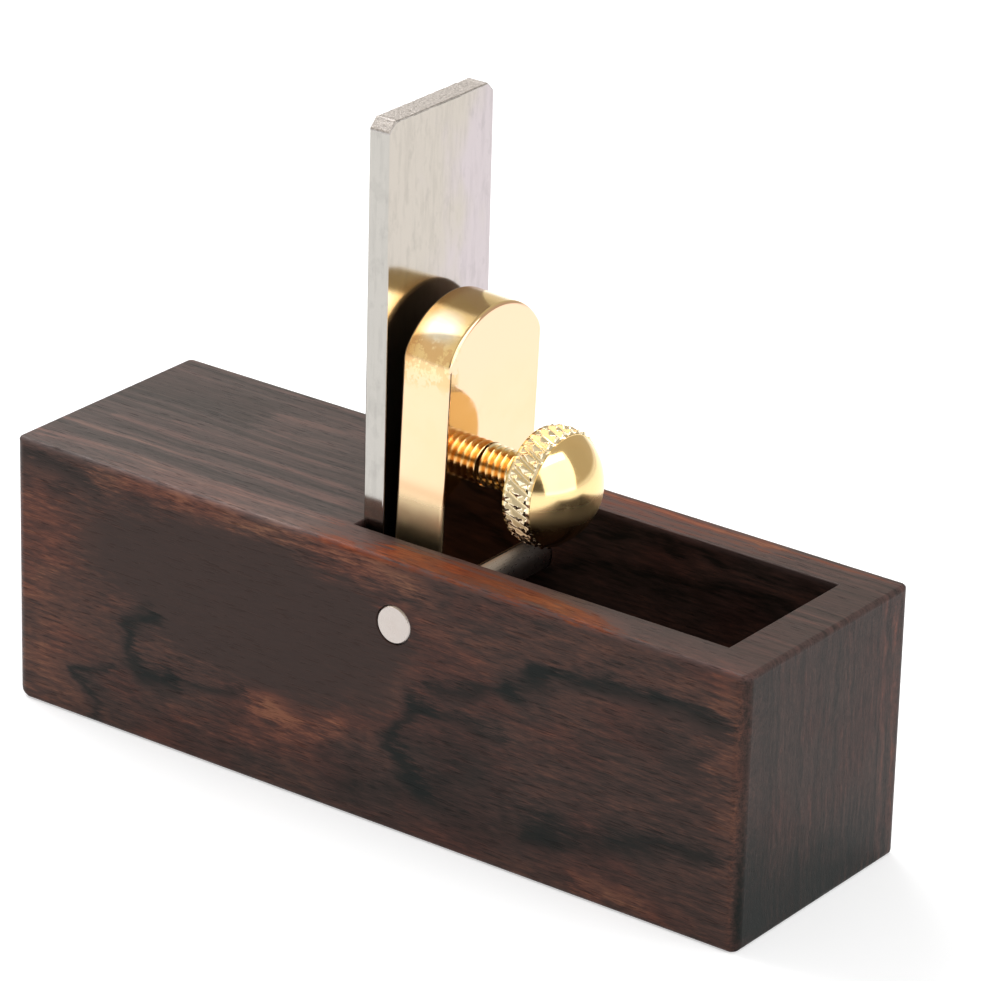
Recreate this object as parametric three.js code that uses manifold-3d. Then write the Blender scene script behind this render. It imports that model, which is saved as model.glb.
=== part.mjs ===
// Mini hand plane for fine trimming: a hardwood block with a deep chip well, an upright iron standing
// against its bed, and a brass lever cap that rocks on a steel cross pin. A knurled thumbscrew through
// the cap bears on the iron above the pin, so the cap's thin toe clamps it close to the mouth.
// Millimetres, +Z up. X runs from the heel to the toe and Y across the sole. The origin lies on the
// sole, under the middle of the block.

import * as THREE from 'three';
import { mergeVertices, toCreasedNormals } from 'three/addons/utils/BufferGeometryUtils.js';
import Module from 'manifold-3d';

const wasm = await Module();
wasm.setup();

const { degToRad } = THREE.MathUtils;

// Wooden block
const bodyLength = 80;
const bodyWidth = 24.8;
const bodyHeight = 25.8;
const uprightRound = 0.9;
const edgeRound = 0.45;

// Chip well and mouth, milled into the block
const heelBlock = 35.7;
const toeWall = 4.65;
const cheek = 4.15;
const wellFloor = 7.5;
const mouthLength = 4.2;
const mouthLip = 1.3;
const rampSlope = degToRad(50);
const ridgeRound = 2.4;
const floorFillet = 1.8;

// Iron
const ironThickness = 2.2;
const ironSideGap = 0.9;
const ironLength = 63;
const ironClipWidth = 0.9;
const ironClipDrop = 0.9;
const ironBevel = degToRad(30);
const bedGap = 0.25;
const edgeRecess = 0.15;

// Cross pin, pressed through both cheeks
const pinRadius = 1.8;
const pinDrop = 6;
const pinChamfer = 0.15;
const pinFit = 0.03;

// Lever cap, drawn with u outwards from the iron and v upwards, both from the pin's axis
const capTilt = degToRad(2);
const capThickness = 5.1;
const capSideGap = 1.6;
const capHead = 26.4;
const capTail = 9;
const crownShare = 4 / 7;
const shoulderRadius = 2.2;
const capChamfer = 0.35;
const pinCover = 0.45;
const grooveFit = 0.08;
const noseStart = 2.9;
const noseBelly = 3.4;
const toeThickness = 1.1;
const toeGap = 0.18;

// Thumbscrew: a threaded stud fixed in a knurled knob with a polished dome
const screwHeight = 11.3;
const studRadius = 2;
const studChamfer = 0.4;
const threadFit = 0.05;
const tipGap = 0.3;
const studGrip = 3.2;
const knobReach = 5.15;
const knurlRadius = 5.45;
const knurlWidth = 2.9;
const knurlChamfer = 0.35;
const domeInset = 0.05;
const domeRise = 2.9;
const socketFit = 0.04;
const socketEndGap = 0.3;

// One overrun serves every cut
const overrun = 1;

// Facets
const roundSides = 48;
const filletSteps = 6;
const domeSteps = 12;

// Places that follow from the sizes
const heelX = -bodyLength / 2;
const bedX = heelX + heelBlock;
const wellEndX = -heelX - toeWall;
const wellWidth = bodyWidth - 2 * cheek;
const pinHeight = bodyHeight - pinDrop;
const ironWidth = wellWidth - 2 * ironSideGap;
const ironBack = bedX + bedGap;
const ironFront = ironBack + ironThickness;
const capWidth = wellWidth - 2 * capSideGap;
const crownRadius = capWidth * crownShare;
const capFace = pinCover;
const capBack = pinCover - capThickness;
const pinX = ironFront + toeGap - capBack * Math.cos(capTilt) + capTail * Math.sin(capTilt);
const knobBack = capFace + knobReach;
const domeRadius = knurlRadius - knurlChamfer - domeInset;

const finishes = {
  rosewood: new THREE.MeshStandardMaterial({ color: 0x3f2a24, roughness: 0.5, metalness: 0 }),
  steel: new THREE.MeshStandardMaterial({ color: 0xcfc8c3, roughness: 0.32, metalness: 1 }),
  pinSteel: new THREE.MeshStandardMaterial({ color: 0xd6d0cb, roughness: 0.38, metalness: 1 }),
  brass: new THREE.MeshStandardMaterial({ color: 0xe3bb67, roughness: 0.14, metalness: 1 }),
};

// A geometry's triangles with merged corners and without the slivers at a revolve's poles, as a solid
function solid(geometry) {
  const bare = geometry.clone();
  bare.deleteAttribute('normal');
  bare.deleteAttribute('uv');
  const merged = mergeVertices(bare);
  const index = merged.getIndex().array;
  const triangles = [];
  for (let i = 0; i < index.length; i += 3) {
    const [a, b, c] = index.slice(i, i + 3);
    if (a !== b && b !== c && c !== a) triangles.push(a, b, c);
  }
  return new wasm.Manifold(new wasm.Mesh({
    numProp: 3,
    vertProperties: new Float32Array(merged.getAttribute('position').array),
    triVerts: new Uint32Array(triangles),
  }));
}

// A named mesh of a finished solid, with its sharp edges kept sharp
function piece(name, shape, material) {
  const { vertProperties, triVerts } = shape.getMesh();
  const geometry = new THREE.BufferGeometry();
  geometry.setAttribute('position', new THREE.BufferAttribute(vertProperties, 3));
  geometry.setIndex(new THREE.BufferAttribute(triVerts, 1));
  const mesh = new THREE.Mesh(toCreasedNormals(geometry, degToRad(28)), material);
  mesh.name = name;
  return mesh;
}

// An outline drawn in X and Z, extruded evenly to both sides across Y
function acrossY(shape, width) {
  const geometry = new THREE.ExtrudeGeometry(shape, {
    depth: width,
    bevelEnabled: false,
    curveSegments: filletSteps,
  });
  geometry.translate(0, 0, -width / 2);
  return geometry.rotateX(Math.PI / 2);
}

// An outline drawn in Y and Z, extruded along X from a start, with its edges chamfered
function alongX(shape, start, depth, chamfer) {
  const geometry = new THREE.ExtrudeGeometry(shape, {
    depth: depth - 2 * chamfer,
    bevelEnabled: chamfer > 0,
    bevelThickness: chamfer,
    bevelSize: chamfer,
    bevelOffset: -chamfer,
    bevelSegments: 1,
    curveSegments: domeSteps,
  });
  geometry.translate(0, 0, start + chamfer);
  const [x, y, z] = [new THREE.Vector3(1, 0, 0), new THREE.Vector3(0, 1, 0), new THREE.Vector3(0, 0, 1)];
  return geometry.applyMatrix4(new THREE.Matrix4().makeBasis(y, z, x));
}

// A revolved profile of radius and station, turned so that its axis runs along X
function turned(points) {
  const geometry = new THREE.LatheGeometry(points.map(([r, s]) => new THREE.Vector2(r, s)), roundSides);
  return geometry.rotateZ(-Math.PI / 2);
}

function rodAcrossY(radius, length) {
  return new THREE.CylinderGeometry(radius, radius, length, roundSides);
}

function roundedRectangle(length, width, radius) {
  const shape = new THREE.Shape();
  const [x, y] = [length / 2 - radius, width / 2 - radius];
  shape.absarc(x, y, radius, 0, Math.PI / 2, false);
  shape.absarc(-x, y, radius, Math.PI / 2, Math.PI, false);
  shape.absarc(-x, -y, radius, Math.PI, 1.5 * Math.PI, false);
  shape.absarc(x, -y, radius, 1.5 * Math.PI, 2 * Math.PI, false);
  shape.closePath();
  return shape;
}

// The block with softened edges, cut by the well, the ramp down to the mouth, and the pin's bore
function makeWoodenBody() {
  const block = new THREE.ExtrudeGeometry(roundedRectangle(bodyLength, bodyWidth, uprightRound), {
    depth: bodyHeight - 2 * edgeRound,
    bevelThickness: edgeRound,
    bevelSize: edgeRound,
    bevelOffset: -edgeRound,
    bevelSegments: filletSteps / 2,
    curveSegments: filletSteps,
  });
  block.translate(0, 0, edgeRound);

  const mouthX = bedX + mouthLength;
  const ridgeX = mouthX + (wellFloor - mouthLip) / Math.tan(rampSlope);
  const above = bodyHeight + overrun;
  const well = new THREE.Shape();
  well.moveTo(bedX, -overrun);
  well.lineTo(mouthX, -overrun);
  well.lineTo(mouthX, mouthLip);
  well.lineTo(ridgeX - ridgeRound * Math.cos(rampSlope), wellFloor - ridgeRound * Math.sin(rampSlope));
  well.quadraticCurveTo(ridgeX, wellFloor, ridgeX + ridgeRound, wellFloor);
  well.lineTo(wellEndX - floorFillet, wellFloor);
  well.absarc(wellEndX - floorFillet, wellFloor + floorFillet, floorFillet, -Math.PI / 2, 0, false);
  well.lineTo(wellEndX, above);
  well.lineTo(bedX, above);
  well.closePath();

  const bore = rodAcrossY(pinRadius + pinFit, bodyWidth + 2 * overrun);
  bore.translate(pinX, 0, pinHeight);
  const body = solid(block).subtract(solid(acrossY(well, wellWidth))).subtract(solid(bore));
  return piece('wooden_body', body, finishes.rosewood);
}

function makeCrossPin() {
  const half = bodyWidth / 2;
  const neck = pinRadius - pinChamfer;
  const rod = turned([
    [0, -half],
    [neck, -half],
    [pinRadius, pinChamfer - half],
    [pinRadius, half - pinChamfer],
    [neck, half],
    [0, half],
  ]);
  rod.rotateZ(Math.PI / 2);
  const pin = piece('cross_pin', solid(rod), finishes.pinSteel);
  pin.position.set(pinX, 0, pinHeight);
  return pin;
}

// The iron's edge is on its front face: the bevel is ground on the side towards the bed
function makeIron() {
  const grind = ironThickness / Math.tan(ironBevel);
  const side = new THREE.Shape();
  side.moveTo(ironThickness, 0);
  side.lineTo(ironThickness, ironLength);
  side.lineTo(0, ironLength);
  side.lineTo(0, grind);
  side.closePath();

  const half = ironWidth / 2;
  const front = new THREE.Shape();
  front.moveTo(-half, -overrun);
  front.lineTo(half, -overrun);
  front.lineTo(half, ironLength - ironClipDrop);
  front.lineTo(half - ironClipWidth, ironLength);
  front.lineTo(ironClipWidth - half, ironLength);
  front.lineTo(-half, ironLength - ironClipDrop);
  front.closePath();

  const bar = solid(acrossY(side, ironWidth + 2 * overrun));
  const outline = solid(alongX(front, -overrun, ironThickness + 2 * overrun, 0));
  const iron = piece('blade', bar.intersect(outline), finishes.steel);
  iron.position.set(ironBack, 0, edgeRecess);
  return iron;
}

// Straight sides, a wide crown and a smaller arc that blends each shoulder into its side
function capOutline() {
  const half = capWidth / 2;
  const crownV = capHead - crownRadius;
  const shoulderY = half - shoulderRadius;
  const between = crownRadius - shoulderRadius;
  const shoulderV = crownV + Math.sqrt(between ** 2 - shoulderY ** 2);
  const blend = Math.atan2(shoulderV - crownV, shoulderY);
  const shape = new THREE.Shape();
  shape.moveTo(-half, -capTail);
  shape.lineTo(half, -capTail);
  shape.absarc(shoulderY, shoulderV, shoulderRadius, 0, blend, false);
  shape.absarc(0, crownV, crownRadius, blend, Math.PI - blend, false);
  shape.absarc(-shoulderY, shoulderV, shoulderRadius, Math.PI - blend, Math.PI, false);
  shape.closePath();
  return shape;
}

// Everything that the nose keeps: below the groove the front face curves back to the thin toe
function capProfile() {
  const shape = new THREE.Shape();
  const toe = capBack + toeThickness;
  shape.moveTo(capBack - overrun, -capTail);
  shape.lineTo(toe, -capTail);
  shape.quadraticCurveTo(capFace, -capTail + noseBelly, capFace, -noseStart);
  shape.lineTo(capFace + overrun, -noseStart);
  shape.lineTo(capFace + overrun, capHead + overrun);
  shape.lineTo(capBack - overrun, capHead + overrun);
  shape.closePath();
  return shape;
}

function makeLeverCap() {
  const plate = solid(alongX(capOutline(), capBack, capThickness, capChamfer));
  const kept = solid(acrossY(capProfile(), capWidth + 2 * overrun));
  const groove = solid(rodAcrossY(pinRadius + grooveFit, capWidth + 2 * overrun));
  const boreRadius = studRadius + threadFit;
  const bore = turned([
    [0, capBack - overrun],
    [boreRadius, capBack - overrun],
    [boreRadius, capFace + overrun],
    [0, capFace + overrun],
  ]);
  bore.translate(0, 0, screwHeight);
  const cap = plate.intersect(kept).subtract(groove).subtract(solid(bore));
  return piece('lever_cap', cap, finishes.brass);
}

// How far out the iron's front face lies at a height on the tilted cap
function ironAt(v) {
  return (ironFront - pinX - v * Math.sin(capTilt)) / Math.cos(capTilt);
}

function makeClampStud() {
  const tip = ironAt(screwHeight - studRadius) + tipGap;
  const end = knobBack + studGrip;
  const neck = studRadius - studChamfer;
  const stud = turned([
    [0, tip],
    [neck, tip],
    [studRadius, tip + studChamfer],
    [studRadius, end - studChamfer],
    [neck, end],
    [0, end],
  ]);
  const mesh = piece('clamp_stud', solid(stud), finishes.brass);
  mesh.position.z = screwHeight;
  return mesh;
}

// The dome is the end of a ball whose base circle lies on the disc's outer face
function domeArc() {
  const ball = (domeRadius ** 2 + domeRise ** 2) / (2 * domeRise);
  const centre = knurlWidth + domeRise - ball;
  const base = Math.asin(domeRadius / ball);
  const points = [];
  for (let i = 0; i < domeSteps; i += 1) {
    const angle = base * (1 - i / domeSteps);
    points.push([ball * Math.sin(angle), centre + ball * Math.cos(angle)]);
  }
  return [...points, [0, knurlWidth + domeRise]];
}

function makeThumbKnob() {
  const socketRadius = studRadius + socketFit;
  const socketDepth = studGrip + socketEndGap;
  const knob = turned([
    [0, socketDepth],
    [socketRadius, socketDepth],
    [socketRadius, 0],
    [knurlRadius - knurlChamfer, 0],
    [knurlRadius, knurlChamfer],
    [knurlRadius, knurlWidth - knurlChamfer],
    [knurlRadius - knurlChamfer, knurlWidth],
    ...domeArc(),
  ]);
  const mesh = piece('thumb_knob', solid(knob), finishes.brass);
  mesh.position.set(knobBack, 0, screwHeight);
  return mesh;
}

const clamp = new THREE.Group();
clamp.position.set(pinX, 0, pinHeight);
clamp.rotation.y = capTilt;
clamp.add(makeLeverCap(), makeClampStud(), makeThumbKnob());

const plane = new THREE.Group();
plane.add(makeWoodenBody(), makeCrossPin(), makeIron(), clamp);

export default plane;
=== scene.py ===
import math

import bmesh
import bpy
from mathutils import Matrix, Vector, noise
from mathutils.geometry import interpolate_bezier


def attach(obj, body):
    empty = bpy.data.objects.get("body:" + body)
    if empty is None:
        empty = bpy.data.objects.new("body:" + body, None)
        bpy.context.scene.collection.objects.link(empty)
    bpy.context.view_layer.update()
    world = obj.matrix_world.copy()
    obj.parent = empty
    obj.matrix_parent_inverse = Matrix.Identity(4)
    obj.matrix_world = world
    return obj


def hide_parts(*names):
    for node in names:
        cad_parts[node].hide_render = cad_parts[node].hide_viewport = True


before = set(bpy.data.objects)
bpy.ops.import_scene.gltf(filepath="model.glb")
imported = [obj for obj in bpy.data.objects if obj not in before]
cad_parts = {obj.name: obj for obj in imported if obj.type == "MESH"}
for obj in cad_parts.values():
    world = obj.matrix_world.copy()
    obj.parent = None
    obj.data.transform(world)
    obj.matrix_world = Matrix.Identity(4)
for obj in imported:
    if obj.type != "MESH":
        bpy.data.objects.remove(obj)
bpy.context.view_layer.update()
print("frame loaded:", ", ".join(sorted(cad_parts)))

mm = 0.001
along = Vector((1, 0, 0))
across = Vector((0, 1, 0))
up = Vector((0, 0, 1))
nothing = 1e-6  # metres: two places closer than this are the same
planeGap = 1e-9  # a corner closer than this to a cutting plane lies in it
mergeGap = 0.0005 * mm  # corners closer than this are merged
pinPlace = Vector((3.2913, 0, 19.8))  # the cross pin's middle, in millimetres


# shader maths: a wrapped socket that works with + - * and /
class Value:
    def __init__(self, nodes, socket):
        self.nodes = nodes
        self.socket = socket

    def __add__(self, other):
        return self.nodes.maths("ADD", self, other)

    def __sub__(self, other):
        return self.nodes.maths("SUBTRACT", self, other)

    def __rsub__(self, other):
        return self.nodes.maths("SUBTRACT", other, self)

    def __mul__(self, other):
        return self.nodes.maths("MULTIPLY", self, other)

    def __truediv__(self, other):
        return self.nodes.maths("DIVIDE", self, other)

    def __rtruediv__(self, other):
        return self.nodes.maths("DIVIDE", other, self)

    __radd__ = __add__
    __rmul__ = __mul__


# everything that builds nodes in one tree
class Nodes:
    def __init__(self, tree):
        self.tree = tree

    def node(self, kind, settings=None, sockets=None, output=0):
        made = self.tree.nodes.new(kind)
        for name, value in (settings or {}).items():
            if name == "stops":
                self.setStops(made.color_ramp, value)
            else:
                setattr(made, name, value)
        for name, value in (sockets or {}).items():
            self.feed(made.inputs[name], value)
        return Value(self, made.outputs[output])

    def feed(self, socket, value):
        if isinstance(value, Value):
            self.tree.links.new(value.socket, socket)
        elif isinstance(value, tuple) and socket.type == "RGBA":
            socket.default_value = (*value, 1)
        else:
            socket.default_value = value

    def setStops(self, ramp, stops):
        while len(ramp.elements) < len(stops):
            ramp.elements.new(1)
        for element, (position, colour) in zip(ramp.elements, stops):
            element.position = position
            element.color = (*colour, 1)

    def maths(self, operation, *values):
        return self.node("ShaderNodeMath", {"operation": operation}, dict(enumerate(values)))

    def ramp(self, value, stops):
        return self.node("ShaderNodeValToRGB", {"stops": stops}, {"Fac": value})

    def mix(self, factor, first, second):
        return self.node("ShaderNodeMix", {"data_type": "RGBA"}, {0: factor, 6: first, 7: second}, 2)

    def vectors(self, operation, first, second):
        output = "Value" if operation in ("DOT_PRODUCT", "DISTANCE", "LENGTH") else "Vector"
        slot = "Scale" if operation == "SCALE" else 1
        return self.node("ShaderNodeVectorMath", {"operation": operation}, {0: first, slot: second}, output)

    def tint(self, colour, factor):
        return self.vectors("SCALE", colour, factor)

    def step(self, value, low, high):
        return self.node("ShaderNodeMapRange", {"interpolation_type": "SMOOTHSTEP"},
                         {"Value": value, "From Min": low, "From Max": high})

    def hill(self, value, centre, width):
        share = (value - centre) / width
        return self.maths("EXPONENT", share * share * -1)

    def absolute(self, value):
        return self.maths("ABSOLUTE", value)

    def vector(self, x, y, z):
        return self.node("ShaderNodeCombineXYZ", sockets={0: x, 1: y, 2: z})

    def length(self, x, y, z):
        return self.vectors("LENGTH", self.vector(x, y, z), (0, 0, 0))

    # noise at a place or, with three scales, at the place stretched by them
    def noise(self, place, scales=None, detail=2, roughness=0.5):
        if scales:
            place = self.vector(*(part * scale for part, scale in zip(place, scales)))
        return self.node("ShaderNodeTexNoise", sockets={
            "Vector": place, "Scale": 1, "Detail": detail, "Roughness": roughness})

    def noiseLine(self, value, detail=2):
        return self.node("ShaderNodeTexNoise", {"noise_dimensions": "1D"},
                         {"W": value, "Scale": 1, "Detail": detail})

    # how far a place lies from a bent line
    def gapTo(self, place, points):
        nearest = None
        for start, end in zip(points, points[1:]):
            start, run = Vector((*start, 0)), Vector((*end, 0)) - Vector((*start, 0))
            fromStart = self.vectors("SUBTRACT", place, start)
            share = self.vectors("DOT_PRODUCT", fromStart, run / run.length_squared)
            share = self.node("ShaderNodeClamp", sockets={"Value": share})
            gap = self.vectors("DISTANCE", fromStart, self.tint(run, share))
            nearest = gap if nearest is None else self.maths("MINIMUM", nearest, gap)
        return nearest

    def bump(self, height, distance, strength, under=None):
        sockets = {"Height": height, "Distance": distance, "Strength": strength}
        if under is not None:
            sockets["Normal"] = under
        return self.node("ShaderNodeBump", sockets=sockets)

    # the piece's own place in millimetres
    def place(self):
        place = self.node("ShaderNodeTexCoord", output="Object")
        return [self.node("ShaderNodeSeparateXYZ", sockets={0: place}, output=axis) * (1 / mm)
                for axis in "XYZ"]


def newMaterial(name, **sockets):
    material = bpy.data.materials.new(name)
    material.use_nodes = True
    nodes = Nodes(material.node_tree)
    shader = material.node_tree.nodes["Principled BSDF"]
    for socket, value in sockets.items():
        nodes.feed(shader.inputs[socket.replace("_", " ")], value)
    return material, nodes, shader


# camera, with its place in metres and its angles in degrees
view = dict(place=(0.26426, -0.35498, 0.21904), turn=36.22, down=23.40, roll=1.49, lens=201.56,
            sensor=36, clipStart=0.01)
# floor paper and sky, where the paper fades into the sky between two heights in degrees
studio = dict(floorSize=6, floorGap=0.00002, floorGlow=0.42, floorTone=0.75, floorWhite=0.9,
              paperTop=(0, 6), sky=(0.54, 0.48, 0.39), skyPlain=0.47, lampCentre=0.03)
# soft boxes: azimuth from +Y towards +X, elevation, distance and size
softBoxes = dict(rightBox=dict(turn=102, rise=27, far=0.95, size=(1.10, 1.34), glow=1.5),
                 rightStrip=dict(turn=101, rise=55, far=0.80, size=(0.66, 0.17), glow=1.8),
                 leftBox=dict(turn=-75, rise=44, far=0.85, size=(0.80, 0.50), glow=5.0))
# broad glows and shadows of the room: azimuth, elevation, the angles from there within which each one
# is full and beyond which it ends, and how much it adds
roomTones = [(-142, 18, 24, 46, 0.50),
             (144, 8, 11, 22, -0.76),
             (-36, 2, 8, 24, 0.40),
             (44, 24, 12, 30, -0.06)]


def heading(turn, rise):
    turn, rise = math.radians(turn), math.radians(rise)
    return Vector((math.sin(turn) * math.cos(rise), math.cos(turn) * math.cos(rise), math.sin(rise)))


def makeCamera():
    camera = bpy.data.objects.new("camera", bpy.data.cameras.new("camera"))
    camera.data.lens = view["lens"]
    camera.data.sensor_width = view["sensor"]
    camera.data.clip_start = view["clipStart"]
    turn, down, roll = (math.radians(view[angle]) for angle in ("turn", "down", "roll"))
    back = Vector((math.sin(turn) * math.cos(down), -math.cos(turn) * math.cos(down), math.sin(down)))
    level = Vector((math.cos(turn), math.sin(turn), 0))
    raised = back.cross(level)
    right = level * math.cos(roll) + raised * math.sin(roll)
    top = raised * math.cos(roll) - level * math.sin(roll)
    turned = Matrix((right, top, back)).transposed().to_4x4()
    camera.matrix_world = Matrix.Translation(view["place"]) @ turned
    bpy.context.collection.objects.link(camera)
    bpy.context.scene.camera = camera


# 1 where the camera, a mirror or glass sees the surface
def seenMask(nodes):
    camera, glossy, through = (nodes.node("ShaderNodeLightPath", output=f"Is {kind} Ray")
                               for kind in ("Camera", "Glossy", "Transmission"))
    return nodes.maths("MINIMUM", camera + glossy + through, 1)


def makeFloor():
    bm = bmesh.new()
    bmesh.ops.create_grid(bm, x_segments=1, y_segments=1, size=studio["floorSize"] / 2)
    mesh = bpy.data.meshes.new("floor")
    bm.to_mesh(mesh)
    bm.free()
    floor = bpy.data.objects.new("floor", mesh)
    floor.location = up * -studio["floorGap"]
    bpy.context.collection.objects.link(floor)
    material, nodes, _ = newMaterial("floor_paper")
    white = nodes.node("ShaderNodeBsdfDiffuse", sockets={"Color": (studio["floorWhite"],) * 3})
    pale = nodes.node("ShaderNodeBsdfDiffuse", sockets={"Color": (studio["floorTone"],) * 3})
    glow = nodes.node("ShaderNodeEmission", sockets={"Color": (1, 1, 1), "Strength": studio["floorGlow"]})
    seen = nodes.node("ShaderNodeAddShader", sockets={0: pale, 1: glow})
    both = nodes.node("ShaderNodeMixShader", sockets={0: seenMask(nodes), 1: white, 2: seen})
    nodes.feed(material.node_tree.nodes["Material Output"].inputs["Surface"], both)
    mesh.materials.append(material)


# the sky is plain for the lighting, toned for what mirrors it and white for the camera
def makeSky():
    world = bpy.data.worlds.new("studio")
    world.use_nodes = True
    bpy.context.scene.world = world
    nodes = Nodes(world.node_tree)
    direction = nodes.node("ShaderNodeTexCoord", output="Generated")
    height = nodes.node("ShaderNodeSeparateXYZ", sockets={0: direction}, output="Z")
    low, high = (math.sin(math.radians(angle)) for angle in studio["paperTop"])
    room = 1
    for turn, rise, inner, outer, change in roomTones:
        facing = nodes.vectors("DOT_PRODUCT", direction, heading(turn, rise))
        spot = nodes.step(facing, math.cos(math.radians(outer)), math.cos(math.radians(inner)))
        room = spot * change + room
    mirrored = nodes.node("ShaderNodeLightPath", output="Is Glossy Ray")
    sky = nodes.mix(mirrored, (studio["skyPlain"],) * 3, nodes.tint(studio["sky"], room))
    colour = nodes.mix(nodes.step(height, low, high), (1, 1, 1), sky)
    seen = nodes.node("ShaderNodeLightPath", output="Is Camera Ray")
    nodes.feed(world.node_tree.nodes["Background"].inputs["Color"], nodes.mix(seen, colour, (1, 1, 1)))


def makeLamps():
    for name, box in softBoxes.items():
        lamp = bpy.data.objects.new(name, bpy.data.lights.new(name, "AREA"))
        lamp.data.shape = "RECTANGLE"
        lamp.data.size, lamp.data.size_y = box["size"]
        lamp.data.energy = box["glow"] * math.pi * box["size"][0] * box["size"][1]
        towards = heading(box["turn"], box["rise"])
        lamp.location = towards * box["far"] + up * studio["lampCentre"]
        lamp.rotation_euler = towards.to_track_quat("Z", "Y").to_euler()
        bpy.context.collection.objects.link(lamp)


makeCamera()
makeFloor()
makeSky()
makeLamps()
bpy.context.scene.view_settings.view_transform = "Standard"
print("studio ready")


# shared making
softEdges = dict(segments=3, angle=32)
rodSides = 96


def newPiece(bm, name, sharpAngle=30):
    bmesh.ops.recalc_face_normals(bm, faces=bm.faces)
    mesh = bpy.data.meshes.new(name)
    bm.to_mesh(mesh)
    bm.free()
    mesh.shade_smooth()
    mesh.set_sharp_from_angle(angle=math.radians(sharpAngle))
    piece = bpy.data.objects.new(name, mesh)
    bpy.context.collection.objects.link(piece)
    return piece


def cutWith(piece, cutters):
    for cutter in cutters:
        cut = piece.modifiers.new("cut", "BOOLEAN")
        cut.operation = "DIFFERENCE"
        cut.solver = "EXACT"
        cut.object = cutter
    applyAll(piece)
    for cutter in cutters:
        bpy.data.objects.remove(cutter)


# rounds the edges and keeps the flats flat in the shading
def soften(piece, width):
    bevel = piece.modifiers.new("soften", "BEVEL")
    bevel.width = width
    bevel.segments = softEdges["segments"]
    bevel.limit_method = "ANGLE"
    bevel.angle_limit = math.radians(softEdges["angle"])
    bevel.harden_normals = True
    flats = piece.modifiers.new("flats", "WEIGHTED_NORMAL")
    flats.keep_sharp = True
    applyAll(piece)


def applyAll(piece):
    bpy.context.view_layer.update()
    shaped = piece.evaluated_get(bpy.context.evaluated_depsgraph_get())
    mesh = bpy.data.meshes.new_from_object(shaped)
    piece.modifiers.clear()
    old = piece.data
    piece.data = mesh
    mesh.name = piece.name
    bpy.data.meshes.remove(old)


# a piece's material, the CAD node that it stands for and the body it moves with; its slot is not used
def dress(piece, body, slot, material, *replaced):
    piece.data.materials.clear()
    piece.data.materials.append(material)
    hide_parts(*replaced)
    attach(piece, body)


def vertsIn(geometry):
    return [g for g in geometry if isinstance(g, bmesh.types.BMVert)]


def edgesWhere(bm, test):
    return [e for e in bm.edges if all(test(v.co) for v in e.verts)]


# the edges whose two ends share the coordinate of one axis
def squareTo(axis, edges):
    return [e for e in edges if abs((e.verts[0].co - e.verts[1].co).dot(axis)) < nothing]


def bevelEdges(bm, edges, offset, segments):
    bmesh.ops.bevel(bm, geom=edges, offset=offset, offset_type="OFFSET", affect="EDGES",
                    segments=segments, profile=0.5, material=-1)


def join(bm, chain):
    for one, other in zip(chain, chain[1:]):
        bm.edges.new((one, other))


# a row of points in a plane, closed to a face and drawn out to a solid
def prism(points, start, depth):
    bm = bmesh.new()
    corners = [bm.verts.new(Vector(point) + start) for point in points]
    face = bm.faces.new(corners)
    drawn = bmesh.ops.extrude_face_region(bm, geom=[face])
    bmesh.ops.translate(bm, vec=depth, verts=vertsIn(drawn["geom"]))
    bmesh.ops.recalc_face_normals(bm, faces=bm.faces)
    return bm


def rod(radius, length, middle, axis):
    bm = bmesh.new()
    bmesh.ops.create_cone(bm, cap_ends=True, segments=rodSides, radius1=radius, radius2=radius,
                          depth=length)
    turn = up.rotation_difference(axis).to_matrix().to_4x4()
    bmesh.ops.transform(bm, matrix=Matrix.Translation(middle) @ turn, verts=bm.verts)
    return bm


# wooden body
block = dict(length=80, width=24.8, height=25.8, uprightRound=1.1, farToeRound=0.9, heelFootRound=1.3,
             edgeRound=0.5, roundSegments=7, rimSoft=0.12, bedX=-4.3, wellEndX=35.35, wellWidth=16.5,
             wellCut=(-2, 30), floor=7.5, mouth=4.2, lip=1.3, slope=50, ridge=2.2, fillet=1.8,
             filletSegments=8, boreRadius=1.84, boreCut=30, sharp=40)


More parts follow.
